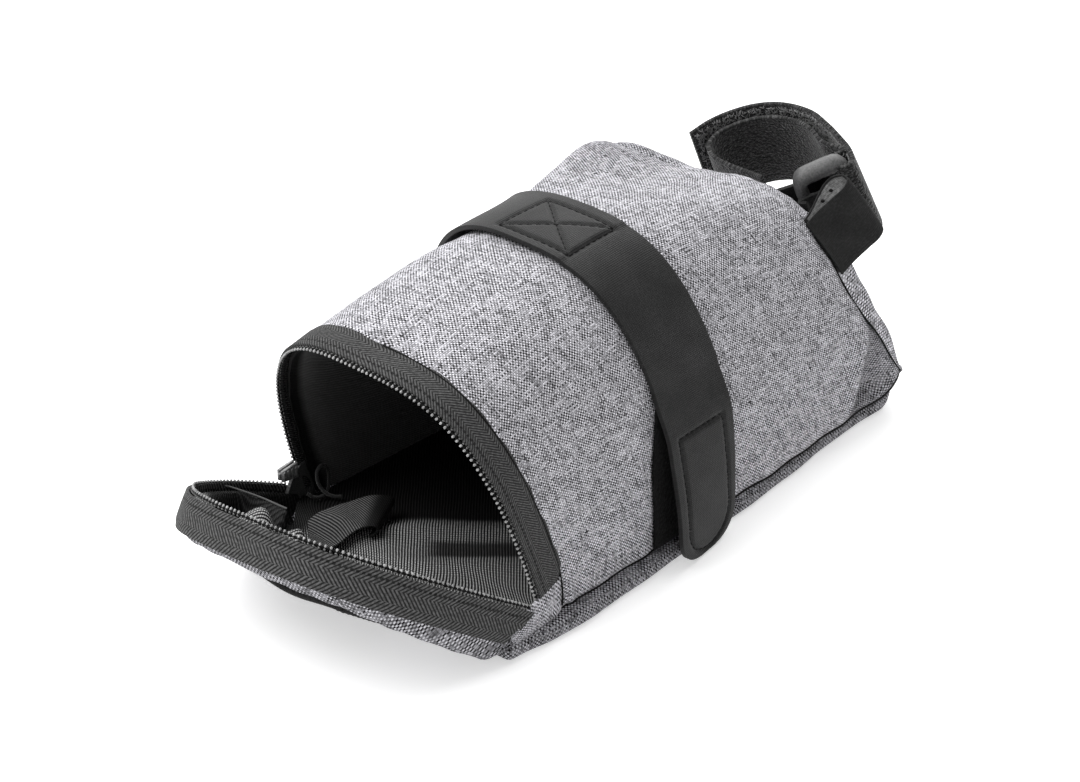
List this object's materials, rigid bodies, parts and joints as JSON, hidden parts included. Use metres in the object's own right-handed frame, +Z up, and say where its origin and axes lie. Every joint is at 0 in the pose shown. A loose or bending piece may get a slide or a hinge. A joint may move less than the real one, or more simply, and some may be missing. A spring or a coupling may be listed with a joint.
{
  "type": "bicycle saddle bag",
  "caption": "Arched cloth saddle bag on a padded base, with an open zipped rear flap, a webbing strap over the top and a hook-and-loop seat-post strap with a plastic ring.",
  "frame": {"origin": "centre of the base panel's underside, on the surface that the bag rests on", "axes": "+Y from the zipped mouth to the seat-post end, +Z up, +X to the side with the tag"},
  "size_m": [0.1188, 0.2661, 0.098],
  "materials": {
    "melange_cloth": "melange grey plain weave",
    "strap_webbing": "black flat webbing",
    "zip_tape": "dark grey herringbone tape",
    "zip_coil": "black coil teeth",
    "lining": "black ribbed lining",
    "hook_loop": "black hook-and-loop pile",
    "plastic": "dark grey moulded plastic",
    "puller_cord": "black braided cord"
  },
  "bodies": {
    "root": {"base_panel": "melange_cloth", "floor_lining": "lining", "body_panel": "melange_cloth", "body_lining": "lining", "body_zip_tape": "zip_tape", "hinge_gusset_near": "melange_cloth", "hinge_gusset_far": "melange_cloth", "front_panel": "melange_cloth", "front_lining": "lining", "flap_zip_tape": "zip_tape", "flap_panel": "melange_cloth", "flap_lining": "lining", "light_loop": "strap_webbing", "body_zip_coil": "zip_coil", "flap_zip_coil": "zip_coil", "zip_slider": "plastic", "zip_puller": "puller_cord", "saddle_strap": "strap_webbing", "loop_strip_near": "hook_loop", "hook_patch_near": "hook_loop", "loop_strip_far": "hook_loop", "hook_patch_far": "hook_loop", "buckle": "plastic", "seatpost_strap": "hook_loop", "buckle_anchor": "strap_webbing", "side_tag": "strap_webbing", "lining_tab": "lining"}
  },
  "joints": []
}
